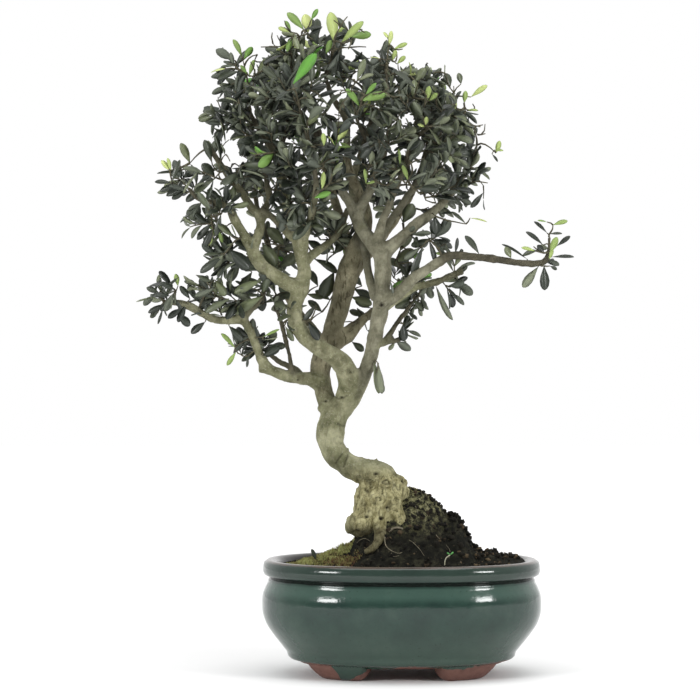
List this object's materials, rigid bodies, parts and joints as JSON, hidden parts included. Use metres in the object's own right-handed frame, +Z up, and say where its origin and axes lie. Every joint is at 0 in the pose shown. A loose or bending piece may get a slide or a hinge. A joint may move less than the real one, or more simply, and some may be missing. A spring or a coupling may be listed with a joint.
{
  "type": "olive bonsai",
  "caption": "Small olive tree with a bent trunk over a knotty root and an open leafy crown, standing in mounded soil and moss in an oval glazed bowl on short feet.",
  "frame": {"origin": "on the surface that the pot's feet stand on, at the middle of the whole object's footprint, crown and long right branch included; the pot's own centre is 30 mm to +X and 2 mm to -Y of it", "axes": "+Z up along the tree's height; +X along the pot's long side, towards the long single branch; -Y faces the viewer of the picture"},
  "size_m": [0.2772, 0.1535, 0.4261],
  "materials": {
    "glaze": "gloss",
    "soil": "matte",
    "moss": "matte",
    "bark": "matte",
    "foliage": "satin",
    "plastic_mesh": "matte",
    "wire": "satin"
  },
  "bodies": {
    "root": {"drain_mesh_left": "plastic_mesh", "drain_mesh_right": "plastic_mesh", "leaves_back_1": "foliage", "leaves_back_2": "foliage", "leaves_back_3": "foliage", "leaves_back_4": "foliage", "leaves_back_5": "foliage", "leaves_back_6": "foliage", "leaves_back_7": "foliage", "leaves_back_8": "foliage", "leaves_back_9": "foliage", "leaves_front_1": "foliage", "leaves_front_2": "foliage", "leaves_front_3": "foliage", "leaves_front_4": "foliage", "leaves_front_5": "foliage", "leaves_front_6": "foliage", "leaves_front_7": "foliage", "leaves_front_8": "foliage", "leaves_front_9": "foliage", "leaves_inner_1": "foliage", "leaves_inner_2": "foliage", "leaves_inner_3": "foliage", "leaves_inner_4": "foliage", "leaves_left_1": "foliage", "leaves_left_2": "foliage", "leaves_left_3": "foliage", "leaves_left_4": "foliage", "leaves_left_5": "foliage", "leaves_left_6": "foliage", "leaves_left_7": "foliage", "leaves_left_8": "foliage", "leaves_left_9": "foliage", "leaves_right_1": "foliage", "leaves_right_2": "foliage", "leaves_right_3": "foliage", "leaves_right_4": "foliage", "leaves_right_5": "foliage", "leaves_side_1": "foliage", "leaves_side_2": "foliage", "leaves_side_3": "foliage", "leaves_top_1": "foliage", "leaves_top_2": "foliage", "leaves_top_3": "foliage", "leaves_top_4": "foliage", "leaves_top_5": "foliage", "leaves_top_6": "foliage", "leaves_top_7": "foliage", "leaves_top_8": "foliage", "mesh_wire_left": "wire", "mesh_wire_right": "wire", "moss_front": "moss", "moss_left": "moss", "pot": "glaze", "soil": "soil", "trunk_and_branches": "bark"}
  },
  "joints": []
}
